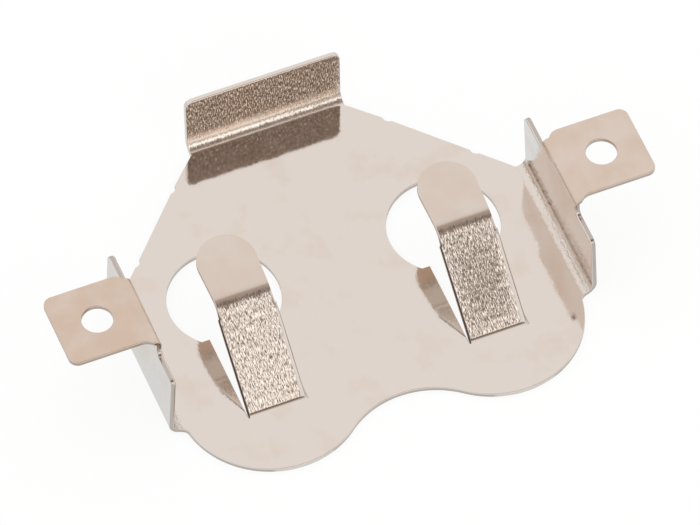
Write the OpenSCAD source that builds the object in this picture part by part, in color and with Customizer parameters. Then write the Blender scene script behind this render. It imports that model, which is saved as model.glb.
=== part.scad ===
// Retainer for a 20 mm coin cell: one piece of nickel-plated spring sheet,
// stamped, lanced and folded. The plate lies on z = 0, the cell enters from
// the front (-Y) and stops against the flange at the back, and the solder
// tabs stand at the top. The origin is under the middle of the plate, on the
// line through the two contact windows.

/* [Sheet] */
// Thickness of the sheet
sheet = 0.25; // [0.2:0.01:0.3]
// Inside radius of the folds at the foot of the walls and of the stop
fold_r = 0.5; // [0.4:0.05:0.6]
// Inside radius of the fold between a wall and its tab
tab_fold_r = 0.1; // [0.06:0.02:0.2]

/* [Cell pocket] */
// Diameter of the coin cell
cell_d = 20; // [19.5:0.1:21]
// Side play of the cell between the feet of the walls
cell_play = 0.6; // [0.4:0.05:1]
// Height of the free edges of the walls above the plate
wall_h = 3.8; // [3.5:0.05:3.95]
// Front end of the walls, ahead of the origin
wall_front = 6.05; // [5.9:0.05:6.2]
// Back end of the walls, behind the origin
wall_back = 1.8; // [1.7:0.02:1.9]
// Inward lean of the walls, in degrees
wall_lean = 2.5; // [1:0.5:4]
// Radius of the free front corners of the walls
wall_corner_r = 0.3; // [0.15:0.05:0.5]
// Radius of the free back corners of the walls
ear_corner_r = 0.45; // [0.2:0.05:0.6]

/* [Cell stop] */
// Inside face of the stop at its foot, behind the origin
stop_y = 8.56; // [8.4:0.02:8.8]
// Width of the stop
stop_w = 7.7; // [7:0.1:8.4]
// Height of the stop above the plate
stop_h = 3.2; // [2.6:0.1:3.8]
// Backward lean of the stop, in degrees
stop_lean = 2; // [0:0.5:4]
// Radius of the free corners of the stop
stop_corner_r = 0.4; // [0.2:0.05:0.7]

/* [Plate] */
// Radius of the two round lobes at the front
lobe_r = 4.32; // [4.1:0.02:4.32]
// Centres of the lobes, ahead of the origin
lobe_y = 5.6; // [5.3:0.05:5.8]
// Radius of the thumb recess between the lobes
recess_r = 4.3; // [3.8:0.1:5]
// Angle of the slanted back edges to the X axis, in degrees
slant = 47; // [46:0.5:48]
// Corner of the plate outline at the foot of the stop, behind the origin
slant_y = 8.2; // [8.1:0.05:8.4]
// Radius of the shallow nicks where two cuts of the die meet
nick_r = 0.35; // [0.3:0.05:0.6]
// Depth of these nicks
nick_depth = 0.1; // [0.05:0.01:0.15]
// First nick on each slanted edge, from the middle plane
first_nick_x = 5.35; // [5:0.05:6]
// Second nick on each slanted edge, from the middle plane
second_nick_x = 8.4; // [7.8:0.05:8.8]
// Radius of the concave corner between a lobe and the foot of a wall
foot_r = 0.35; // [0.2:0.05:0.5]

/* [Contact tongues] */
// Distance between the two contact tongues
contact_pitch = 10.88; // [10.6:0.02:10.9]
// Diameter of the window punched round the tip of each tongue
window_d = 5.3; // [5:0.05:5.4]
// Front end of the round window, ahead of its centre
window_front = 1.9; // [1.7:0.05:2.1]
// Width of a tongue
tongue_w = 2.84; // [2.6:0.02:3]
// Gap that lancing leaves on each side of a tongue
lance_gap = 0.04; // [0.03:0.01:0.08]
// Root of the tongues, ahead of the origin
root_y = 6.54; // [6.2:0.02:6.8]
// Angle at which a tongue rises from the plate, in degrees
rise_angle = 38.5; // [30:0.5:42]
// Length of a tongue from its root to its elbow
rise_len = 5.35; // [5:0.05:5.6]
// Angle of the tip beyond the elbow, in degrees
tip_angle = 5.5; // [2:0.5:10]
// Length from the elbow to the middle of the round tip
tip_len = 1.92; // [1.7:0.02:2.1]
// Width of the round tip
tip_w = 2.8; // [2.4:0.05:2.8]
// Width of the tongue just past its shoulders
waist_w = 2.66; // [2.4:0.02:2.7]
// Distance from the shoulders to the elbow, along the tongue
shoulder_len = 0.7; // [0.5:0.05:1]
// Inside radius of the fold at the root of a tongue
root_r = 0.3; // [0.2:0.05:0.5]
// Inside radius of the fold at its elbow
elbow_r = 0.45; // [0.3:0.05:0.7]

/* [Solder tabs] */
// Height of the solder faces above the plate
tab_h = 4.7; // [4.6:0.05:5]
// Length of a tab beyond the wall
tab_reach = 4.25; // [4:0.05:4.6]
// Width of a tab
tab_w = 3.9; // [3.7:0.05:4.1]
// Middle of the tabs, ahead of the origin
tab_y = 2.05; // [1.95:0.05:2.15]
// Radius of the outer corners of a tab
tab_corner_r = 0.45; // [0.3:0.05:0.8]
// Diameter of the hole in each tab
tab_hole_d = 1.45; // [1.2:0.05:1.7]
// Middle of the hole beyond the wall
tab_hole_reach = 2.27; // [2.1:0.01:2.4]
// How much wider than the tab its neck is, at the front
neck_flare = 0.25; // [0.1:0.05:0.35]
// Radius of the sweep from the tab out to the neck
flare_r = 0.7; // [0.5:0.05:0.9]
// How much narrower than the tab its neck is, at the back
neck_relief = 0.3; // [0.1:0.05:0.4]
// Radius of the sweep from the tab in to the neck
relief_r = 0.6; // [0.5:0.05:0.8]
// Radius of the concave corners at the foot of the neck
neck_r = 0.3; // [0.2:0.05:0.35]

/* [Hidden] */
$fn = 96;
eps = 0.01;
big = 40;
contact_x = contact_pitch / 2;
window_r = window_d / 2;
// Inside faces of the walls at the level of the plate
wall_x = (cell_d + cell_play) / 2;
wall_turn = 90 + wall_lean;
stop_turn = 90 - stop_lean;
elbow_turn = rise_angle - tip_angle;
// Distances from a sharp corner to the ends of the arc that rounds it
function setback(radius, turn) = radius * tan(turn / 2);
wall_setback = setback(fold_r, wall_turn);
stop_setback = setback(fold_r, stop_turn);
tab_setback = setback(tab_fold_r + sheet, wall_turn);
root_setback = setback(root_r, rise_angle);
elbow_setback = setback(elbow_r + sheet, elbow_turn);
// Where the flat plate ends and the folds begin
wall_foot_x = wall_x - wall_setback;
stop_foot_y = stop_y - stop_setback;
root_foot_y = -root_y - root_setback;
// Inside corner between a leaning wall and the face of its tab
tab_x = wall_x - tab_h * tan(wall_lean);
// Where the flat tab begins
tab_root_x = tab_x + tab_setback;
tab_end_x = tab_x + tab_reach;
tab_hole_x = tab_x + tab_hole_reach;
tab_front = -tab_y - tab_w / 2;
tab_back = -tab_y + tab_w / 2;
wall_top = sheet + wall_h;
neck_front = tab_front - neck_flare;
neck_back = tab_back - neck_relief;
// Middle of the concave corner between a lobe and the foot of a wall
foot_y = -wall_front - foot_r;
foot_x = contact_x + sqrt(pow(lobe_r + foot_r, 2) - pow(foot_y + lobe_y, 2));
// Where the line of the two centres crosses the fold
foot_line_y = -lobe_y + (foot_y + lobe_y) * (wall_foot_x - contact_x) / (foot_x - contact_x);
// Middle of the thumb recess, which touches both lobes
recess_y = -lobe_y - sqrt(pow(lobe_r + recess_r, 2) - pow(contact_x, 2));
// The slanted back edge as height over distance from the middle plane
function slant_at(x) = slant_y - (x - stop_w / 2) * tan(slant);
// Plan positions along a tongue
elbow_y = -root_y + rise_len * cos(rise_angle);
shoulder_y = elbow_y - shoulder_len * cos(rise_angle);
tip_y = elbow_y + tip_len * cos(tip_angle);

// Section of a folded strip. Each run is [length, turn, inside radius]: the
// strip goes straight for the length, then turns up (or down, if negative).
module folded_strip(runs, i = 0) {
    if (i < len(runs)) {
        length = runs[i][0];
        turn = runs[i][1];
        radius = runs[i][2];
        side = turn < 0 ? -1 : 1;
        centre = [length, side > 0 ? sheet + radius : -radius];
        square([length, sheet]);
        if (turn != 0)
            translate(centre) {
                bend_sector(radius, abs(turn), side);
                rotate(turn)
                    translate(-centre)
                        translate([length, 0])
                            folded_strip(runs, i + 1);
            }
    }
}

// Section of one fold about its own centre
module bend_sector(radius, turn, side) {
    reach = 2 * (radius + sheet);
    scale([1, -side])
        intersection() {
            difference() {
                circle(r = radius + sheet);
                circle(r = radius);
            }
            polygon([
                [0, 0],
                [0, reach],
                [reach, reach],
                [reach * sin(turn), reach * cos(turn)]
            ]);
        }
}

// Rectangle between two corners, with its +Y corners rounded
module round_top(from, to, left_r, right_r) {
    size = to - from;
    translate(from) {
        square([size.x, size.y - max(left_r, right_r)]);
        translate([left_r, 0])
            square([size.x - left_r - right_r, size.y]);
        translate([left_r, size.y - left_r])
            circle(r = left_r);
        translate([size.x - right_r, size.y - right_r])
            circle(r = right_r);
        translate([0, size.y / 2])
            square([left_r, size.y / 2 - left_r]);
        translate([size.x - right_r, size.y / 2])
            square([right_r, size.y / 2 - right_r]);
    }
}

// Piece between two edges that meet at the origin and an arc that runs into
// the X edge and leaves the Y edge at the given depth
module sweep_corner(radius, depth) {
    width = sqrt(2 * radius * depth - depth * depth);
    difference() {
        square([width, depth]);
        translate([width, radius])
            circle(r = radius);
    }
}

module both_sides() {
    children();
    mirror([1, 0, 0])
        children();
}

// Plan of the flat plate: everything inside the folds, less the nicks, the
// thumb recess, the corners at the feet of the walls and the windows
module plate_outline() {
    difference() {
        union() {
            polygon([
                [-stop_w / 2, stop_foot_y],
                [stop_w / 2, stop_foot_y],
                [wall_foot_x, slant_at(wall_foot_x)],
                [wall_foot_x, foot_line_y],
                [contact_x, -lobe_y],
                [0, recess_y],
                [-contact_x, -lobe_y],
                [-wall_foot_x, foot_line_y],
                [-wall_foot_x, slant_at(wall_foot_x)]
            ]);
            both_sides()
                translate([contact_x, -lobe_y])
                    circle(r = lobe_r);
        }
        translate([0, recess_y])
            circle(r = recess_r);
        both_sides() {
            nicks();
            foot_cut();
            translate([contact_x, 0])
                window();
        }
    }
}

// Shallow nicks in one slanted edge, where two cuts of the die meet
module nicks() {
    for (x = [first_nick_x, second_nick_x])
        translate([x, slant_at(x)])
            rotate(-slant)
                translate([0, nick_r - nick_depth])
                    circle(r = nick_r);
}

// What the die takes away between a lobe and the foot of a wall
module foot_cut() {
    translate([foot_x, foot_y])
        circle(r = foot_r);
}

// Window and lanced slot round one tongue
module window() {
    slot_w = tongue_w + 2 * lance_gap;
    intersection() {
        circle(r = window_r);
        translate([-big / 2, -window_front])
            square([big, big]);
    }
    translate([-slot_w / 2, root_foot_y])
        square([slot_w, -root_foot_y]);
}

// Plan of one tongue: parallel sides, shoulders, then a round tip
module tongue_outline() {
    translate([-tongue_w / 2, root_foot_y - eps])
        square([tongue_w, shoulder_y - root_foot_y + eps]);
    polygon([
        [-waist_w / 2, shoulder_y - eps],
        [waist_w / 2, shoulder_y - eps],
        [tip_w / 2, tip_y],
        [-tip_w / 2, tip_y]
    ]);
    translate([0, tip_y])
        circle(d = tip_w);
}

module tongue() {
    intersection() {
        translate([-tongue_w, root_foot_y, 0])
            rotate([90, 0, 90])
                linear_extrude(2 * tongue_w)
                    translate([-eps, 0])
                        folded_strip([
                            [eps, rise_angle, root_r],
                            [rise_len - root_setback - elbow_setback, -elbow_turn, elbow_r],
                            [tip_len + tip_w, 0, 0]
                        ]);
        translate([0, 0, -eps])
            linear_extrude(big)
                tongue_outline();
    }
}

// Side view of the foot of the neck, on the free edge of the wall
module neck_outline() {
    translate([neck_front, wall_top - eps])
        square([neck_back - neck_front, neck_r + 2 * eps]);
    translate([neck_front, wall_top])
        mirror([1, 0])
            sweep_corner(neck_r, neck_r);
    translate([neck_back, wall_top])
        sweep_corner(neck_r, neck_r);
}

// Plan of the neck and the tab, on the +X side
module tab_outline() {
    difference() {
        union() {
            translate([0, tab_back])
                rotate(-90)
                    round_top([0, 0], [tab_w, tab_end_x], tab_corner_r, tab_corner_r);
            translate([0, neck_front])
                square([tab_root_x, neck_flare + eps]);
            translate([tab_root_x - eps, tab_front])
                mirror([0, 1])
                    sweep_corner(flare_r, neck_flare);
        }
        translate([0, neck_back])
            square([tab_root_x, neck_relief + eps]);
        translate([tab_root_x, tab_back])
            mirror([0, 1])
                translate([-eps, -eps])
                    sweep_corner(relief_r, neck_relief);
        translate([tab_hole_x, -tab_y])
            circle(d = tab_hole_d);
    }
}

// Plan of the concave corner between a lobe and the foot of a wall
module foot_corner() {
    difference() {
        polygon([
            [contact_x, -lobe_y],
            [foot_x, foot_y],
            [foot_x, -lobe_y]
        ]);
        foot_cut();
    }
}

// Everything that the die leaves of the folded side strip
module side_blank() {
    rotate([90, 0, 90]) {
        linear_extrude(big)
            round_top([-wall_front, -eps], [wall_back, wall_top],
                wall_corner_r, ear_corner_r);
        linear_extrude(big)
            neck_outline();
    }
    translate([0, 0, wall_top + neck_r])
        linear_extrude(tab_h)
            tab_outline();
    translate([0, 0, -eps])
        linear_extrude(fold_r)
            foot_corner();
}

module wall_and_tab() {
    intersection() {
        translate([wall_foot_x, big / 2, 0])
            rotate([90, 0, 0])
                linear_extrude(big)
                    translate([-eps, 0])
                        folded_strip([
                            [eps, wall_turn, fold_r],
                            [tab_h / cos(wall_lean) - wall_setback - tab_setback,
                                -wall_turn, tab_fold_r],
                            [tab_reach, 0, 0]
                        ]);
        side_blank();
    }
}

module stop_flange() {
    intersection() {
        translate([-stop_w, stop_foot_y, 0])
            rotate([90, 0, 90])
                linear_extrude(2 * stop_w)
                    translate([-eps, 0])
                        folded_strip([
                            [eps, stop_turn, fold_r],
                            [big / 4, 0, 0]
                        ]);
        translate([0, big, 0])
            rotate([90, 0, 0])
                linear_extrude(big)
                    round_top([-stop_w / 2, -eps], [stop_w / 2, sheet + stop_h],
                        stop_corner_r, stop_corner_r);
    }
}

// The whole sheet as it leaves the die
module retainer() {
    color([0.80, 0.77, 0.74]) {
        linear_extrude(sheet)
            plate_outline();
        stop_flange();
        both_sides() {
            wall_and_tab();
            translate([contact_x, 0, 0])
                tongue();
        }
    }
}

retainer();
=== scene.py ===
"""Looks of a folded coin cell retainer in bright nickel plate, laid out as a Blender add-on."""

import math

import bpy
import numpy as np
from mathutils import Matrix, Vector
from mathutils.geometry import delaunay_2d_cdt


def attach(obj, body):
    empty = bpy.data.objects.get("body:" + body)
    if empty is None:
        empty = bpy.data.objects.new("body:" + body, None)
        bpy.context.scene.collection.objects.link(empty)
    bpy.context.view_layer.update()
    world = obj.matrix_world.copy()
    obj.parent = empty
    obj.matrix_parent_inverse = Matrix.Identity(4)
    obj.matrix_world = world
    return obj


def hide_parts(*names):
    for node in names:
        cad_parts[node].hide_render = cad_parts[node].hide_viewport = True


bl_info = {
    "name": "Coin Cell Retainer",
    "version": (1, 0, 0),
    "blender": (4, 5, 0),
    "location": "View3D > Sidebar > Retainer",
    "description": "Folds a stamped blank into a coin cell retainer and sets it on a studio floor",
    "category": "Add Mesh",
}

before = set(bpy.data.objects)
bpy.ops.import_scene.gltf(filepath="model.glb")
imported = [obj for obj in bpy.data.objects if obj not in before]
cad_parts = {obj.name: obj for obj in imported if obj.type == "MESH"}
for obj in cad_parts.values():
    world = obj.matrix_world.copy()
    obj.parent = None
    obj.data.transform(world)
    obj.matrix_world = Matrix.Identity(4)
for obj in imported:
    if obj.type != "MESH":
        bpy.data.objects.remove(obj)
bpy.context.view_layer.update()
MM = 0.001


# ---------------------------------------------------------------- colours

def linear(code):
    """Linear colour of an sRGB hex value."""
    parts = [int(code[i:i + 2], 16) / 255 for i in (1, 3, 5)]
    return tuple(c / 12.92 if c <= 0.04045 else ((c + 0.055) / 1.055) ** 2.4 for c in parts)


# ---------------------------------------------------------------- folding
# Lengths are in millimetres. The outer face of the plate lies at height 0, x runs across
# the part and y towards the stop at its back.

SHEET = 0.25
CELL_PLAY_HALF = 10.3
WALL_HEIGHT = 4.7
STOP_Y, TONGUE_Y = 8.56, -6.54
TONGUE_LENGTH = 5.35
FOLD_R, TAB_FOLD_R = 0.5, 0.1
LEAN = math.radians(2.5)
WALL_TURN, STOP_TURN = math.radians(92.5), math.radians(88)
RISE, TIP = math.radians(38.5), math.radians(5.5)
# The elbow is rounder than a sharp press would leave it, so that its shading runs out softly.
ROOT_R, ELBOW_R = 0.3, 1.0


def setback(radius, turn):
    """Distance from a sharp corner to the ends of the arc that rounds it."""
    return radius * math.tan(turn / 2)


# A run is a straight length, then a bend's turn and inner radius. The last one has no end.
LAST_RUN = (99, 0, 0)
WALL_FOOT = CELL_PLAY_HALF - setback(FOLD_R, WALL_TURN)
STOP_FOOT = STOP_Y - setback(FOLD_R, STOP_TURN)
TONGUE_FOOT = TONGUE_Y - setback(ROOT_R, RISE)
TAB_SETBACK = setback(TAB_FOLD_R + SHEET, WALL_TURN)
TAB_X = CELL_PLAY_HALF - WALL_HEIGHT * math.tan(LEAN)
WALL_RUNS = [
    (0, WALL_TURN, FOLD_R),
    (WALL_HEIGHT / math.cos(LEAN) - setback(FOLD_R, WALL_TURN) - TAB_SETBACK, -WALL_TURN, TAB_FOLD_R),
    LAST_RUN,
]
STOP_RUNS = [(0, STOP_TURN, FOLD_R), LAST_RUN]
TONGUE_RUNS = [
    (0, RISE, ROOT_R),
    (TONGUE_LENGTH - setback(ROOT_R, RISE) - setback(ELBOW_R + SHEET, RISE - TIP), TIP - RISE, ELBOW_R),
    LAST_RUN,
]
WALL_STEP, STOP_STEP, TONGUE_STEP = math.radians(6), math.radians(5), math.radians(2.5)


def folded(runs, s, w):
    """Place along and up, and the slope, of a point s along a folded strip and w above its outer face."""
    a, along, up = 0.0, 0.0, 0.0
    for length, turn, radius in runs:
        if s <= length:
            break
        s -= length
        along, up = along + length * math.cos(a), up + length * math.sin(a)
        reach = (radius + SHEET / 2) * abs(turn)
        side = 1 if turn > 0 else -1
        lift = SHEET + radius if side > 0 else -radius
        cx, cz = along - lift * math.sin(a), up + lift * math.cos(a)
        if s < reach:
            b = a + side * s / (radius + SHEET / 2)
            rest = w - lift
            return cx - rest * math.sin(b), cz + rest * math.cos(b), b
        s -= reach
        a += turn
        along, up = cx + lift * math.sin(a), cz - lift * math.cos(a)
    return (along + s * math.cos(a) - w * math.sin(a),
            up + s * math.sin(a) + w * math.cos(a), a)


def developed(runs, goal, upward=False, low=0.0, high=12.0):
    """Length along the strip's middle layer at which it reaches a place along, or a height."""
    for _ in range(50):
        mid = (low + high) / 2
        if folded(runs, mid, SHEET / 2)[1 if upward else 0] < goal:
            low = mid
        else:
            high = mid
    return low


def stations(runs, step):
    """Lengths along a strip at which its folds need a row of points."""
    rows, s = [], 0.0
    for length, turn, radius in runs:
        s += length
        if turn:
            reach = (radius + SHEET / 2) * abs(turn)
            count = max(4, math.ceil(abs(turn) / step))
            rows += [s + reach * i / count for i in range(count + 1)]
            s += reach
    return rows


# ---------------------------------------------------------------- blank

CONTACT_X = 5.44
LOBE_Y = -5.6
WALL_FRONT, WALL_BACK, LOW_WALL = -6.05, 1.8, 4.05
FOOT_FILLET, WALL_FILLET, WALL_CORNER = 0.35, 0.3, 0.45
TAB_Y, TAB_HALF, TAB_REACH, TAB_CORNER = -2.05, 1.95, 4.25, 0.45
TAB_HOLE_REACH = 2.27
FRONT_NOTCH, FRONT_NOTCH_R = 0.25, 0.7
BACK_NOTCH, BACK_NOTCH_R = 0.3, 0.6
SLANT, SLANT_X, SLANT_Y = 47, 3.85, 8.2
NICKS, NICK_R, NICK_OUT = (8.4, 5.35), 0.35, 0.25
STOP_CORNER = 0.4
SLOT_HALF, SLOT_END = 1.46, -1.9
TONGUE_HALF, WAIST_HALF, WAIST_SPREAD = 1.42, 1.33, 0.04
SHOULDER, SHOULDER_R, TIP_REACH = 0.7, 0.07, 1.92
CLOSE = 0.01


def arc(cx, cy, r, a0, a1, step=4.0):
    """Points of an arc from a0 to a1 in degrees."""
    count = max(2, math.ceil(abs(a1 - a0) / step))
    return [(cx + r * math.cos(math.radians(a0 + (a1 - a0) * i / count)),
             cy + r * math.sin(math.radians(a0 + (a1 - a0) * i / count))) for i in range(count + 1)]


def split(points, longest=0.4):
    """The same loop with its long edges cut into shorter ones."""
    made = []
    for (x0, y0), (x1, y1) in zip(points, points[1:] + points[:1]):
        count = max(1, math.ceil(math.hypot(x1 - x0, y1 - y0) / longest))
        made += [(x0 + (x1 - x0) * i / count, y0 + (y1 - y0) * i / count) for i in range(count)]
    return made


def tidy(points):
    """The loop without points that coincide."""
    made = []
    for p in points:
        if not made or math.dist(p, made[-1]) > 1e-4:
            made.append(p)
    if math.dist(made[0], made[-1]) < 1e-4:
        made.pop()
    return made


def along_wall(goal, **search):
    """Length across the blank at which the wall's strip reaches a place along, or a height."""
    return WALL_FOOT + developed(WALL_RUNS, goal, **search)


def tab_start():
    """Where the bend between wall and tab ends on the blank."""
    return along_wall(TAB_X + TAB_SETBACK - WALL_FOOT, low=4.6)


def notch(start, depth, r):
    """Centre along the tab of a round notch beside its bend, and the angle that its arc spans."""
    reach = math.sqrt(2 * r * depth - depth ** 2)
    return start + reach, math.degrees(math.asin(reach / r))


def half_outline(sizes):
    """Right half of the flat blank's outline, from the thumb recess round to the top of the stop."""
    lobe_r, recess_r = sizes.lobe_radius / MM, sizes.recess_radius / MM
    stop_half, stop_top = sizes.stop_half_width / MM, sizes.stop_height / MM
    recess_y = LOBE_Y - math.sqrt((lobe_r + recess_r) ** 2 - CONTACT_X ** 2)
    touch = math.degrees(math.atan2(recess_y - LOBE_Y, -CONTACT_X))
    foot_y = WALL_FRONT - FOOT_FILLET
    foot_x = CONTACT_X + math.sqrt((lobe_r + FOOT_FILLET) ** 2 - (foot_y - LOBE_Y) ** 2)
    foot = math.degrees(math.atan2(foot_y - LOBE_Y, foot_x - CONTACT_X))
    pts = arc(0, recess_y, recess_r, 90, 180 + touch, 3)
    pts += arc(CONTACT_X, LOBE_Y, lobe_r, touch, foot, 3)
    pts += arc(foot_x, foot_y, FOOT_FILLET, 180 + foot, 90, 8)
    pts = [(x, y) if x <= WALL_FOOT else (along_wall(x - WALL_FOOT, high=0.9), y) for x, y in pts]
    rows = [WALL_FOOT + s for s in stations(WALL_RUNS, WALL_STEP)]
    top = along_wall(LOW_WALL, upward=True)
    neck = top + WALL_FILLET
    tab0 = tab_start()
    end = tab0 + TAB_REACH - TAB_SETBACK
    front, back = TAB_Y - TAB_HALF, TAB_Y + TAB_HALF
    front_neck, back_neck = front - FRONT_NOTCH, back - BACK_NOTCH
    pts += [(u, WALL_FRONT) for u in rows if pts[-1][0] + CLOSE < u < top - 0.4]
    pts += arc(top - WALL_FILLET, WALL_FRONT + WALL_FILLET, WALL_FILLET, -90, 0, 10)
    pts += arc(neck, front_neck - WALL_FILLET, WALL_FILLET, 180, 90, 10)
    across_neck = [u for u in rows if neck + CLOSE < u < tab0 - CLOSE]
    pts += [(u, front_neck) for u in across_neck]
    x, a = notch(tab0, FRONT_NOTCH, FRONT_NOTCH_R)
    pts += arc(x, front - FRONT_NOTCH_R, FRONT_NOTCH_R, 90 + a, 90, 6)
    pts += arc(end - TAB_CORNER, front + TAB_CORNER, TAB_CORNER, -90, 0, 6)
    pts += arc(end - TAB_CORNER, back - TAB_CORNER, TAB_CORNER, 0, 90, 6)
    x, a = notch(tab0, BACK_NOTCH, BACK_NOTCH_R)
    pts += arc(x, back - BACK_NOTCH_R, BACK_NOTCH_R, 90, 90 + a, 6)
    pts += [(u, back_neck) for u in reversed(across_neck)]
    pts += arc(neck, back_neck + WALL_FILLET, WALL_FILLET, -90, -180, 10)
    pts += arc(top - WALL_CORNER, WALL_BACK - WALL_CORNER, WALL_CORNER, 0, 90, 8)
    pts += [(u, WALL_BACK) for u in reversed(rows) if WALL_FOOT + CLOSE < u < top - 0.5]
    slant = math.radians(SLANT)

    def line(x):
        """Slanted back edge."""
        return SLANT_Y - (x - SLANT_X) * math.tan(slant)

    pts.append((WALL_FOOT, line(WALL_FOOT)))
    half = math.degrees(math.acos(NICK_OUT / NICK_R))
    for x in NICKS:
        pts += arc(x + NICK_OUT * math.sin(slant), line(x) + NICK_OUT * math.cos(slant), NICK_R,
                   half - 90 - SLANT, -half - 90 - SLANT, 8)
    pts.append((stop_half + 0.02, STOP_FOOT))
    pts += [(stop_half, STOP_FOOT + s) for s in stations(STOP_RUNS, STOP_STEP)]
    top = STOP_FOOT + developed(STOP_RUNS, stop_top, upward=True)
    pts += arc(stop_half - STOP_CORNER, top - STOP_CORNER, STOP_CORNER, 0, 90, 8)
    return tidy(pts)


def outer_loop(sizes):
    """Outline of the whole flat blank."""
    right = half_outline(sizes)
    left = [(-x, y) for x, y in reversed(right)]
    return tidy(split(tidy(right + left)))


def window_loop(sizes, side):
    """Window, lanced slot and the tongue that stands in it, as one loop of the flat blank."""
    window_r, tip_r = sizes.window_radius / MM, sizes.tip_radius / MM
    rows = [TONGUE_FOOT + s for s in stations(TONGUE_RUNS, TONGUE_STEP)]
    elbow = TONGUE_Y + TONGUE_LENGTH * math.cos(RISE)
    shoulder, tip = (TONGUE_FOOT + developed(TONGUE_RUNS, y - TONGUE_FOOT) for y in
                     (elbow - SHOULDER * math.cos(RISE), elbow + TIP_REACH * math.cos(TIP)))
    low_rows = [v for v in rows if v < shoulder - 0.1]
    waist = [(WAIST_HALF + WAIST_SPREAD * (v - shoulder) / (tip - shoulder), v)
             for v in rows if v > shoulder + 0.12]
    chord = math.degrees(math.asin(-SLOT_END / window_r))
    pts = [(-SLOT_HALF, TONGUE_FOOT), (-SLOT_HALF, SLOT_END)]
    pts += arc(0, 0, window_r, 180 + chord, -chord, 3)
    pts += [(SLOT_HALF, SLOT_END), (SLOT_HALF, TONGUE_FOOT)]
    pts += [(TONGUE_HALF, v) for v in low_rows] + [(TONGUE_HALF, shoulder)]
    pts += arc(TONGUE_HALF, shoulder + SHOULDER_R, SHOULDER_R, -90, -150, 20)[1:]
    pts += waist + arc(0, tip, tip_r, 0, 180, 5) + [(-x, v) for x, v in reversed(waist)]
    pts += arc(-TONGUE_HALF, shoulder + SHOULDER_R, SHOULDER_R, -30, -90, 20)[:-1]
    pts += [(-TONGUE_HALF, shoulder)] + [(-TONGUE_HALF, v) for v in reversed(low_rows)]
    return tidy(split(tidy([(x + side * CONTACT_X, y) for x, y in pts])))


def hole_loop(sizes, side):
    """Fixing hole of one tab."""
    x = tab_start() + TAB_HOLE_REACH - TAB_SETBACK
    return tidy(arc(side * x, TAB_Y, sizes.hole_radius / MM, 360, 0, 5))


def outward(loop):
    """Mitred direction out of the material at each point of a loop, and how far a step of one goes."""
    p = np.array(loop)
    back, ahead = p - np.roll(p, 1, 0), np.roll(p, -1, 0) - p
    back /= np.linalg.norm(back, axis=1)[:, None]
    ahead /= np.linalg.norm(ahead, axis=1)[:, None]
    n = np.stack([back[:, 1] + ahead[:, 1], -back[:, 0] - ahead[:, 0]], 1)
    length = np.linalg.norm(n, axis=1)
    n /= np.maximum(length, 1e-9)[:, None]
    return n, 1 / np.clip(length / 2, 0.5, 1)


# Profile of the sheared edge from the outer face to the inner face: how far in from the
# outline, height in the sheet, and the normal's parts out of the outline and up.
EDGE = [
    (0.030, 0.000, 0.0, -1.0),
    (0.010, 0.006, 0.5, -0.87),
    (0.000, 0.024, 0.97, -0.2),
    (0.000, 0.170, 1.0, 0.05),
    (0.004, 0.196, 0.95, 0.3),
    (0.016, 0.224, 0.75, 0.66),
    (0.038, 0.242, 0.4, 0.92),
    (0.070, 0.250, 0.0, 1.0),
]


def inside(points, loops):
    """Which points lie in the material, by the even and odd rule over all loops."""
    odd = np.zeros(len(points), bool)
    x, y = points[:, 0], points[:, 1]
    for loop in loops:
        p = np.array(loop)
        q = np.roll(p, -1, 0)
        for (x0, y0), (x1, y1) in zip(p, q):
            if y0 == y1:
                continue
            hit = ((y0 > y) != (y1 > y)) & (x < (x1 - x0) * (y - y0) / (y1 - y0) + x0)
            odd ^= hit
    return odd


def distance(points, loops):
    """Distance of each point to the nearest outline."""
    best = np.full(len(points), 9.0)
    for loop in loops:
        p = np.array(loop)
        q = np.roll(p, -1, 0)
        for a, b in zip(p, q):
            d = b - a
            t = np.clip(((points - a) @ d) / max(d @ d, 1e-12), 0, 1)
            best = np.minimum(best, np.linalg.norm(points - a - t[:, None] * d, axis=1))
    return best


def inner_points(loops):
    """Rows of points across every fold and over the bowed tongues, so that they come out round."""
    pts = []
    for s in stations(WALL_RUNS, WALL_STEP):
        for v in np.arange(-6.2, 1.9, 0.3):
            pts += [(WALL_FOOT + s, v), (-WALL_FOOT - s, v)]
    for s in stations(STOP_RUNS, STOP_STEP):
        pts += [(x, STOP_FOOT + s) for x in np.arange(-3.7, 3.71, 0.25)]
    bends = [TONGUE_FOOT + s for s in stations(TONGUE_RUNS, TONGUE_STEP)]
    for rows, across in ((bends, np.arange(-1.25, 1.26, 0.25)),
                         (np.arange(-6.2, -1.6, 0.25), np.arange(-1.2, 1.21, 0.3))):
        for v in rows:
            for x in across:
                pts += [(CONTACT_X + x, v), (-CONTACT_X + x, v)]
    pts = np.array(pts)
    pts = pts[inside(pts, loops)]
    clear_of_edge = 0.11
    return pts[distance(pts, loops) > clear_of_edge]


def fold_point(u, v, w):
    """Place in the folded part of a point of the blank, with its three directions there."""
    if on_wall(u, v):
        side = 1 if u >= 0 else -1
        along, z, a = folded(WALL_RUNS, abs(u) - WALL_FOOT, w)
        return ((side * (WALL_FOOT + along), v, z), (math.cos(a), 0, side * math.sin(a)),
                (0, 1, 0), (-side * math.sin(a), 0, math.cos(a)))
    for there, runs, foot in ((on_tongue, TONGUE_RUNS, TONGUE_FOOT), (on_stop, STOP_RUNS, STOP_FOOT)):
        if there(u, v):
            along, z, a = folded(runs, v - foot, w)
            return ((u, foot + along, z), (1, 0, 0),
                    (0, math.cos(a), math.sin(a)), (0, -math.sin(a), math.cos(a)))
    return (u, v, w), (1, 0, 0), (0, 1, 0), (0, 0, 1)


def on_tongue(u, v):
    """Whether a point of the blank belongs to a tongue."""
    x = abs(abs(u) - CONTACT_X)
    return TONGUE_FOOT < v < 4 and x < TONGUE_HALF + 0.02 and (v < -1.8 or x * x + v * v < 2.6 ** 2)


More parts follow.
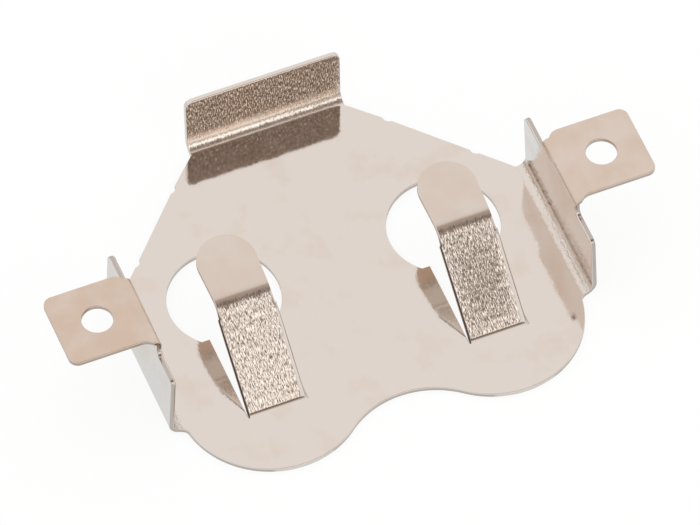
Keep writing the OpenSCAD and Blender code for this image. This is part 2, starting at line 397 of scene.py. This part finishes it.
def on_wall(u, v):
    """Whether a point of the blank belongs to a side wall or its tab."""
    return abs(u) > WALL_FOOT and v < 3


def on_stop(u, v):
    """Whether a point of the blank belongs to the stop."""
    return abs(u) < 4 and v > STOP_FOOT


def worked(u, v):
    """How much the forming tools have roughened the sheet at a point of the blank."""
    if on_tongue(u, v):
        root, elbow = (v - TONGUE_FOOT - 0.22) / 0.12, (v + 1.4) / 0.35
        return min(1, max(0, root)) * (1 - min(1, max(0, elbow)))
    if on_stop(u, v):
        return min(1, (v - STOP_FOOT) / 0.35)
    if on_wall(u, v):
        return 1.8 * max(0.06, 1 - (abs(u) - WALL_FOOT) / 1.1)
    return 0.0


def haze_and_tip_reflection(u, v):
    """How much brownish haze goes on the plate at a point of the blank: browned tabs, the left one more, and a
    painted browner reflection on the tongue tips.
    """
    if on_tongue(u, v):
        # Painted reflection: the tongue tips are browned beyond the elbow.
        return min(0.55, max(0, (v + 1.2) / 0.5))
    if abs(u) > WALL_FOOT + WALL_HEIGHT - 0.1:
        return 1.0 if u < 0 else 0.8
    return 0.0


def bowed(u, v):
    """Slope that the punch has left in a tongue's face: the left one leans back, the right one bows."""
    root, elbow, end = TONGUE_FOOT + 0.3, -1.4, -0.8
    if not on_tongue(u, v) or v > end:
        return 0.0
    t = (v - root) / (elbow - root)
    if u < 0:
        return -0.025 + 0.01 * t
    middle = max(0.0, 4 * t * (1 - t)) ** 0.5
    across = 1 - min(1, abs(abs(u) - CONTACT_X) / TONGUE_HALF) ** 4
    return -0.02 + 0.065 * middle * across


def roll_width(u, v, out):
    """How wide the die has rolled the inner edge, as a multiple of the plain edge."""
    if on_tongue(u, v) and v < -0.9:
        t = (v - TONGUE_FOOT) / (-1.3 - TONGUE_FOOT)
        most = 4.2 if out > 0 else 0.8
        return 0.6 + most * min(1, t / 0.06) * max(0, 1 - t) ** 0.4
    return 0.5


def edge_finish(u, v, out, ring):
    """How roughened, darkened and browned the sheared edge is at one of its rings: the torn edge is darker,
    and along the tongues' left edges the dark is partly painted shade.
    """
    tongue = on_tongue(u, v) and v < -1.5
    slot = abs(abs(u) - CONTACT_X) < SLOT_HALF + 0.02 and v < -1.85
    dark, torn_and_shaded = 0.35, (2, 3)
    # Along a tongue's left edge the dark is partly the torn edge and partly painted shade, so it is at full
    # strength and spans more rings.
    if tongue and out < 0:
        dark, torn_and_shaded = 1.0, (3, 4, 5, 6)
    elif tongue or slot or v > STOP_FOOT:
        dark = 0.0
    face = ring == len(EDGE) - 1
    return worked(u, v) if face else 0.15, dark if ring in torn_and_shaded else 0.0, haze_and_tip_reflection(u, v)


def retainer_mesh(sizes):
    """The blank with its sheared edges, triangulated flat and then folded."""
    loops = [outer_loop(sizes)]
    loops += [window_loop(sizes, side) for side in (1, -1)]
    loops += [hole_loop(sizes, side) for side in (1, -1)]
    flat, normals, finish, faces, rings = [], [], [], [], []
    for i, loop in enumerate(loops):
        p = np.array(loop)
        area = np.sum(p[:, 0] * np.roll(p[:, 1], -1) - np.roll(p[:, 0], -1) * p[:, 1])
        if (area > 0) != (i == 0):
            loop = loop[::-1]
            p = p[::-1]
        loops[i] = loop
        n, reach = outward(loop)
        wide = np.array([roll_width(a, b, c) for (a, b), (c, _) in zip(loop, n)])
        ring = []
        for k, (inset, w, out, up) in enumerate(EDGE):
            start = len(flat)
            q = p - n * (inset * reach * (wide if k > 3 else 1))[:, None]
            flat += [(a, b, w) for a, b in q]
            # The die has rolled a tongue's right edge flatter than the others.
            normals += [(out * a * (0.4 if a > 0.5 and k > 4 and on_tongue(c, d) else 1),
                         out * b + (bowed(c, d) if k > 5 else 0), up)
                        for (a, b), (c, d) in zip(n, loop)]
            finish += [edge_finish(a, b, c, k) for (a, b), (c, _) in zip(loop, n)]
            ring.append(start)
        count = len(loop)
        for low, high in zip(ring, ring[1:]):
            faces += [(low + k, low + (k + 1) % count, high + (k + 1) % count, high + k)
                      for k in range(count)]
        rings.append((ring, count))
    extra = inner_points(loops)
    for level, w, up in ((0, 0.0, -1), (len(EDGE) - 1, SHEET, 1)):
        ids, edges = [], []
        for ring, count in rings:
            start = len(ids)
            ids += range(ring[level], ring[level] + count)
            edges += [(start + k, start + (k + 1) % count) for k in range(count)]
        base = len(flat)
        flat += [(a, b, w) for a, b in extra]
        normals += [(0, bowed(a, b) if up > 0 else 0, up) for a, b in extra]
        finish += [(worked(a, b), 0.0, haze_and_tip_reflection(a, b)) for a, b in extra]
        ids += range(base, base + len(extra))
        pts = [Vector(flat[k][:2]) for k in ids]
        verts, _, tris, origin, _, _ = delaunay_2d_cdt(pts, edges, [], 0, 1e-6)
        verts = np.array([tuple(v) for v in verts])
        back = [o[0] if o else -1 for o in origin]
        mids = np.array([verts[list(t)].mean(0) for t in tris])
        keep = inside(mids, [[flat[k][:2] for k in range(ring[level], ring[level] + count)]
                             for ring, count in rings])
        for t, good in zip(tris, keep):
            if good and all(back[k] >= 0 for k in t):
                f = [ids[back[k]] for k in t]
                a, b, c = (np.array(flat[k][:2]) for k in f)
                turn = (b[0] - a[0]) * (c[1] - a[1]) - (b[1] - a[1]) * (c[0] - a[0])
                faces.append(tuple(f) if (turn > 0) == (up > 0) else tuple(reversed(f)))
    places, turned = [], []
    for (u, v, w), (a, b, c) in zip(flat, normals):
        place, eu, ev, ew = fold_point(u, v, w)
        places.append([q * MM for q in place])
        turned.append([a * eu[k] + b * ev[k] + c * ew[k] for k in range(3)])
    mesh = bpy.data.meshes.new("retainer_sheet")
    mesh.from_pydata(places, [], faces)
    uv = mesh.uv_layers.new(name="blank")
    index = np.zeros(len(mesh.loops), int)
    mesh.loops.foreach_get("vertex_index", index)
    grid = np.array(flat)[:, :2] / 10
    uv.data.foreach_set("uv", grid[index].ravel())
    # The haze attribute also holds the painted browner reflection on the tongue tips.
    # The sheared attribute also holds the painted shade along the tongues' left edges.
    for name, k in (("worked", 0), ("sheared_and_shaded", 1), ("haze_and_tip_reflection", 2)):
        layer = mesh.attributes.new(name, "FLOAT", "POINT")
        layer.data.foreach_set("value", [f[k] for f in finish])
    mesh.polygons.foreach_set("use_smooth", [True] * len(mesh.polygons))
    turned = np.array(turned)
    turned /= np.linalg.norm(turned, axis=1)[:, None]
    mesh.normals_split_custom_set_from_vertices(turned.tolist())
    mesh.update()
    return mesh


# ---------------------------------------------------------------- materials

def add(tree, kind, inputs=None, **settings):
    """Adds a node with its settings, and sets or links its inputs."""
    node = tree.nodes.new(kind)
    for key, value in settings.items():
        setattr(node, key, value)
    for key, value in (inputs or {}).items():
        if isinstance(value, bpy.types.NodeSocket):
            tree.links.new(value, node.inputs[key])
        else:
            node.inputs[key].default_value = value
    return node


def noise(tree, blank, scale, detail, roughness):
    """Noise over the blank with the given scales across and along it."""
    at = add(tree, "ShaderNodeMapping", {"Vector": blank, "Scale": (*scale, 1)}).outputs[0]
    return add(tree, "ShaderNodeTexNoise", {"Vector": at, "Scale": 1.0, "Detail": detail,
                                            "Roughness": roughness}, noise_dimensions="2D")


def slopes(tree, source, across, along):
    """Slopes of a bumpy face, up to half of the given ones either way."""
    centred = add(tree, "ShaderNodeVectorMath", {0: source.outputs["Color"], 1: (0.5, 0.5, 0.5)},
                  operation="SUBTRACT")
    return add(tree, "ShaderNodeVectorMath", {0: centred.outputs[0], 1: (across, along, 0)},
               operation="MULTIPLY").outputs[0]


def total(tree, a, b):
    """Sum of two vectors."""
    return add(tree, "ShaderNodeVectorMath", {0: a, 1: b}, operation="ADD").outputs[0]


def scaled(tree, vector, amount):
    """A vector times a number, which may be a node's output."""
    return add(tree, "ShaderNodeVectorMath", {0: vector, "Scale": amount}, operation="SCALE").outputs[0]


def attribute(tree, name):
    """What the mesh says about each point under the given name."""
    return add(tree, "ShaderNodeAttribute", attribute_name=name).outputs["Fac"]


def nickel_plate(looks, sizes):
    """Bright nickel over cold-rolled spring strip: a warm mirror with fine grain along the rolling."""
    mat = bpy.data.materials.new("bright_nickel_plate")
    mat.use_nodes = True
    tree = mat.node_tree
    tree.nodes.clear()
    blank = add(tree, "ShaderNodeUVMap", uv_map="blank").outputs["UV"]
    # The blank's UV runs 1 unit to 10 mm, so a grain of 0.04 mm is a noise scale of 250. The
    # real rolling grain is several times finer: this is about as fine as the view can show.
    unit = 10 * MM
    # Grain that the rolling has drawn out, and dimples where the sheet was bent, give the
    # tongues and the stop their glitter. The polished flat keeps only a trace of them.
    k = looks.grain_slope
    grain = noise(tree, blank, (unit / sizes.grain_width, unit / sizes.grain_length), 2.5, 0.65)
    peel = noise(tree, blank, (unit / sizes.dimple, unit / sizes.dimple), 2.0, 0.6)
    rough = total(tree, slopes(tree, grain, k * 0.9, k * 0.75), slopes(tree, peel, k * 0.22, k * 0.18))
    share = add(tree, "ShaderNodeMapRange", {"Value": attribute(tree, "worked"),
                                             "To Min": looks.plain_grain, "To Max": 1.0}, clamp=False)
    # The sheet is never quite flat, which makes its reflections wander a little.
    wave = noise(tree, blank, (9, 4), 1.0, 0.5)
    both = total(tree, scaled(tree, rough, share.outputs[0]), slopes(tree, wave, 0.008, 0.008))
    normal = add(tree, "ShaderNodeNormalMap", {"Color": total(tree, both, (0.5, 0.5, 1.0)),
                                               "Strength": 1.0}, uv_map="blank")
    # Handling leaves a thin brownish haze in patches on the flat. The tabs are browned more, and on the tongue
    # tips the same brown is a painted reflection.
    stain_and_tip_reflection = noise(tree, blank, (unit / sizes.stain_patch, unit / sizes.stain_patch), 3.0, 0.55).outputs[0]
    patches = add(tree, "ShaderNodeMapRange", {"Value": stain_and_tip_reflection, "From Min": 0.55, "From Max": 0.8,
                                               "To Min": 0.0, "To Max": 0.35})
    cloud = add(tree, "ShaderNodeMapRange", {"Value": stain_and_tip_reflection, "From Min": 0.3, "From Max": 0.7,
                                             "To Min": 0.55, "To Max": 1.15})
    local = add(tree, "ShaderNodeMath", {0: attribute(tree, "haze_and_tip_reflection"), 1: cloud.outputs[0]},
                operation="MULTIPLY")
    most = add(tree, "ShaderNodeMath", {0: local.outputs[0], 1: patches.outputs[0]}, operation="MAXIMUM")
    base = add(tree, "ShaderNodeMix", {"Factor": most.outputs[0], 6: (*looks.plate, 1),
                                       7: (*looks.stain_and_tip_reflection, 1)}, data_type="RGBA")
    # The sheared edges are torn, so they are darker and softer than the plated faces. Along the tongues' left
    # edges the darkening is partly painted shade.
    torn_and_shaded = attribute(tree, "sheared_and_shaded")
    edge = add(tree, "ShaderNodeMix", {"Factor": torn_and_shaded, 6: base.outputs[2],
                                       7: (*looks.sheared_and_shaded, 1)}, data_type="RGBA")
    soft = add(tree, "ShaderNodeMapRange", {"Value": torn_and_shaded, "To Min": looks.roughness, "To Max": 0.4})
    shader = add(tree, "ShaderNodeBsdfPrincipled", {"Base Color": edge.outputs[2], "Metallic": 1.0,
                                                    "Roughness": soft.outputs[0],
                                                    "Normal": normal.outputs[0]})
    add(tree, "ShaderNodeOutputMaterial", {"Surface": shader.outputs[0]})
    return mat


def studio_floor(looks):
    """Matt white paper sweep, which glows as if lit from below and keeps a faint shadow."""
    mat = bpy.data.materials.new("white_paper_sweep")
    mat.use_nodes = True
    tree = mat.node_tree
    tree.nodes.clear()
    path = add(tree, "ShaderNodeLightPath")
    seen = add(tree, "ShaderNodeEmission", {"Color": (1, 1, 1, 1), "Strength": 1.02})
    mirrored = add(tree, "ShaderNodeEmission", {"Color": (*looks.floor, 1), "Strength": 1.0})
    glow = add(tree, "ShaderNodeMixShader", {0: path.outputs["Is Camera Ray"], 1: mirrored.outputs[0],
                                             2: seen.outputs[0]})
    paper = add(tree, "ShaderNodeBsdfDiffuse", {"Color": (1, 1, 1, 1)})
    both = add(tree, "ShaderNodeMixShader", {0: 0.85, 1: paper.outputs[0], 2: glow.outputs[0]})
    add(tree, "ShaderNodeOutputMaterial", {"Surface": both.outputs[0]})
    return mat


# How bright the tent is around its opening: share of the opening's spread, then the colour.
OPENING_SPREAD = math.radians(80)
OPENING = [
    (0.0, 0.17, 0.145, 0.135),
    (0.05, 0.20, 0.17, 0.155),
    (0.08, 0.40, 0.34, 0.305),
    (0.17, 0.56, 0.48, 0.43),
    (0.20, 0.82, 0.79, 0.72),
    (0.25, 0.90, 0.94, 0.99),
    (0.30, 0.97, 0.97, 0.98),
    (0.36, 1.0, 1.0, 1.0),
]


def studio_tent(looks):
    """White tent with a dark opening for the lens, a soft lamp below it and a dim rim at the horizon."""
    world = bpy.data.worlds.new("studio_tent")
    world.use_nodes = True
    tree = world.node_tree
    tree.nodes.clear()
    way = add(tree, "ShaderNodeTexCoord").outputs["Generated"]
    one = add(tree, "ShaderNodeVectorMath", {0: way}, operation="NORMALIZE").outputs[0]

    def nearness(direction):
        """Cosine of the angle between the way looked and a direction."""
        return add(tree, "ShaderNodeVectorMath", {0: one, 1: Vector(direction).normalized()},
                   operation="DOT_PRODUCT").outputs["Value"]

    angle = add(tree, "ShaderNodeMath", {0: nearness(looks.opening_at)}, operation="ARCCOSINE")
    parts = add(tree, "ShaderNodeSeparateXYZ", {0: one})
    # The opening's edge is sharp towards the front and soft towards the back.
    soft = add(tree, "ShaderNodeMapRange", {"Value": parts.outputs[1], "From Min": -0.62,
                                            "From Max": -0.36, "To Min": 1.0, "To Max": 0.5})
    spread = add(tree, "ShaderNodeMath", {0: angle.outputs[0], 1: soft.outputs[0]}, operation="MULTIPLY")
    share = add(tree, "ShaderNodeMath", {0: spread.outputs[0], 1: OPENING_SPREAD}, operation="DIVIDE")
    ramp = add(tree, "ShaderNodeValToRGB", {"Fac": share.outputs[0]})
    while len(ramp.color_ramp.elements) < len(OPENING):
        ramp.color_ramp.elements.new(0.5)
    for e, (at, r, g, b) in zip(ramp.color_ramp.elements, OPENING):
        e.position = at
        e.color = (r, g, b, 1)
    lamp = add(tree, "ShaderNodeMapRange", {
        "Value": nearness(looks.lamp_at), "From Min": math.cos(math.radians(18)),
        "From Max": math.cos(math.radians(10)), "To Min": 0.0, "To Max": 1.0})
    lit = total(tree, ramp.outputs[0], scaled(tree, tuple(looks.lamp), lamp.outputs[0]))
    rim = add(tree, "ShaderNodeMapRange", {"Value": parts.outputs[2], "From Min": 0.0, "From Max": 0.16,
                                           "To Min": 0.45, "To Max": 1.0}, interpolation_type="SMOOTHSTEP")
    path = add(tree, "ShaderNodeLightPath")
    tent = add(tree, "ShaderNodeBackground", {"Color": scaled(tree, lit, rim.outputs[0]), "Strength": 1.0})
    white = add(tree, "ShaderNodeBackground", {"Color": (1, 1, 1, 1), "Strength": 1.0})
    both = add(tree, "ShaderNodeMixShader", {0: path.outputs["Is Camera Ray"], 1: tent.outputs[0],
                                             2: white.outputs[0]})
    add(tree, "ShaderNodeOutputWorld", {"Surface": both.outputs[0]})
    return world


# ---------------------------------------------------------------- add-on

def size(name, description, mm):
    """A length that the user can change, given in millimetres."""
    return bpy.props.FloatProperty(name=name, description=description, unit="LENGTH", subtype="DISTANCE",
                                   min=0.1 * mm * MM, max=3 * mm * MM, default=mm * MM, precision=5)


class RETAINER_PG_sizes(bpy.types.PropertyGroup):
    lobe_radius: size("Lobe radius", "Radius of the two rounded lobes at the front", 4.32)
    recess_radius: size("Recess radius", "Radius of the thumb recess between the lobes", 4.3)
    window_radius: size("Window radius", "Radius of the windows round the tongue tips", 2.65)
    tip_radius: size("Tip radius", "Radius of the rounded tongue tips", 1.4)
    hole_radius: size("Hole radius", "Radius of the fixing holes in the tabs", 0.725)
    stop_half_width: size("Stop half width", "Half the width of the stop at the back", 3.85)
    stop_height: size("Stop height", "Height of the stop's top edge over the underside", 3.45)
    grain_width: size("Grain width", "Width of one grain of the rolled face", 0.044)
    grain_length: size("Grain length", "Length of one grain along the rolling", 0.25)
    dimple: size("Dimple", "Size of the dimples where the sheet was bent", 0.09)
    stain_patch: size("Haze patch", "Size of the patches of haze", 2.4)


class RETAINER_PG_looks(bpy.types.PropertyGroup):
    plate: bpy.props.FloatVectorProperty(name="Nickel", description="Colour of the nickel plate",
                                         subtype="COLOR", size=3, min=0, max=1, default=linear("#DFD4CB"))
    # This brown is also the painted reflection on the tongue tips.
    stain_and_tip_reflection: bpy.props.FloatVectorProperty(name="Haze", description="Colour of the thin brownish haze",
                                         subtype="COLOR", size=3, min=0, max=1, default=linear("#D2BBA9"))
    # This is also the colour of the painted shade along the tongues' left edges.
    sheared_and_shaded: bpy.props.FloatVectorProperty(name="Sheared edge", description="Colour of the torn edge",
                                           subtype="COLOR", size=3, min=0, max=1, default=linear("#5A4A42"))
    floor: bpy.props.FloatVectorProperty(name="Floor", description="Colour that the metal sees in the floor",
                                         subtype="COLOR", size=3, min=0, max=1, default=linear("#EEF5F8"))
    roughness: bpy.props.FloatProperty(name="Roughness", description="Softness of the reflections",
                                       min=0, max=1, default=0.07)
    grain_slope: bpy.props.FloatProperty(name="Grain slope", description="Steepness of the rolling grain",
                                         min=0, max=1, default=0.46)
    plain_grain: bpy.props.FloatProperty(name="Plain grain", description="Share of the grain on flat sheet",
                                         min=0, max=1, default=0.05)
    opening_at: bpy.props.FloatVectorProperty(name="Lens opening", description="Direction of the dark opening",
                                              subtype="XYZ", size=3, default=(0.21, -0.50, 0.84))
    lamp_at: bpy.props.FloatVectorProperty(name="Lamp", description="Direction of the soft lamp",
                                           subtype="XYZ", size=3, default=(0.2, -0.86, 0.47))
    lamp: bpy.props.FloatVectorProperty(name="Lamp glow", description="Colour that the lamp adds to the tent",
                                        subtype="COLOR", size=3, min=0, max=1, default=(0.56, 0.54, 0.47))


class RETAINER_OT_sheet(bpy.types.Operator):
    """Fold the stamped blank into the retainer"""
    bl_idname = "retainer.sheet"
    bl_label = "Retainer Sheet"

    def execute(self, context):
        scene = context.scene
        piece = bpy.data.objects.new("retainer_sheet", retainer_mesh(scene.retainer_sizes))
        scene.collection.objects.link(piece)
        piece.data.materials.append(nickel_plate(scene.retainer_looks, scene.retainer_sizes))
        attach(piece, "root")
        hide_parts("retainer")
        return {"FINISHED"}


class RETAINER_OT_stage(bpy.types.Operator):
    """Set the floor, the tent and the camera"""
    bl_idname = "retainer.stage"
    bl_label = "Studio Stage"

    def execute(self, context):
        looks = context.scene.retainer_looks
        mesh = bpy.data.meshes.new("floor")
        # Just under the part, so that the two don't share a plane.
        r, z = 2.0, -0.02 * MM
        mesh.from_pydata([(-r, -r, z), (r, -r, z), (r, r, z), (-r, r, z)], [], [(0, 1, 2, 3)])
        floor = bpy.data.objects.new("floor", mesh)
        floor.data.materials.append(studio_floor(looks))
        context.scene.collection.objects.link(floor)
        context.scene.world = studio_tent(looks)
        # The lens stands to the left of the front and looks down steeply from far off.
        turn, rise = -0.3895, 0.9484
        back = Vector((math.sin(turn) * math.cos(rise), -math.cos(turn) * math.cos(rise), math.sin(rise)))
        right = Vector((math.cos(turn), math.sin(turn), 0))
        up = back.cross(right)
        data = bpy.data.cameras.new("camera")
        data.lens, data.sensor_width = 480.1, 36
        data.clip_start, data.clip_end = 0.01, 10
        camera = bpy.data.objects.new("camera", data)
        context.scene.collection.objects.link(camera)
        spot = Vector((0, 0, SHEET)) + back * 428.5 - right * -0.734 - up * 0.068
        axes = Matrix((right, up, back)).transposed().to_4x4()
        camera.matrix_world = Matrix.Translation(spot * MM) @ axes
        context.scene.camera = camera
        context.scene.view_settings.view_transform = "Standard"
        return {"FINISHED"}


class RETAINER_PT_panel(bpy.types.Panel):
    bl_label = "Coin Cell Retainer"
    bl_idname = "RETAINER_PT_panel"
    bl_space_type = "VIEW_3D"
    bl_region_type = "UI"
    bl_category = "Retainer"

    def draw(self, context):
        looks = context.scene.retainer_looks
        for group in (context.scene.retainer_sizes, looks):
            for name in group.bl_rna.properties.keys():
                if name not in {"rna_type", "name"}:
                    self.layout.prop(group, name)
        self.layout.operator("retainer.sheet")
        self.layout.operator("retainer.stage")


CLASSES = (RETAINER_PG_sizes, RETAINER_PG_looks, RETAINER_OT_sheet, RETAINER_OT_stage, RETAINER_PT_panel)


def register():
    for cls in CLASSES:
        bpy.utils.register_class(cls)
    bpy.types.Scene.retainer_sizes = bpy.props.PointerProperty(type=RETAINER_PG_sizes)
    bpy.types.Scene.retainer_looks = bpy.props.PointerProperty(type=RETAINER_PG_looks)


def unregister():
    del bpy.types.Scene.retainer_looks
    del bpy.types.Scene.retainer_sizes
    for cls in reversed(CLASSES):
        bpy.utils.unregister_class(cls)


def main():
    register()
    bpy.ops.retainer.sheet()
    bpy.ops.retainer.stage()
    bpy.context.view_layer.update()


if __name__ == "__main__":
    main()
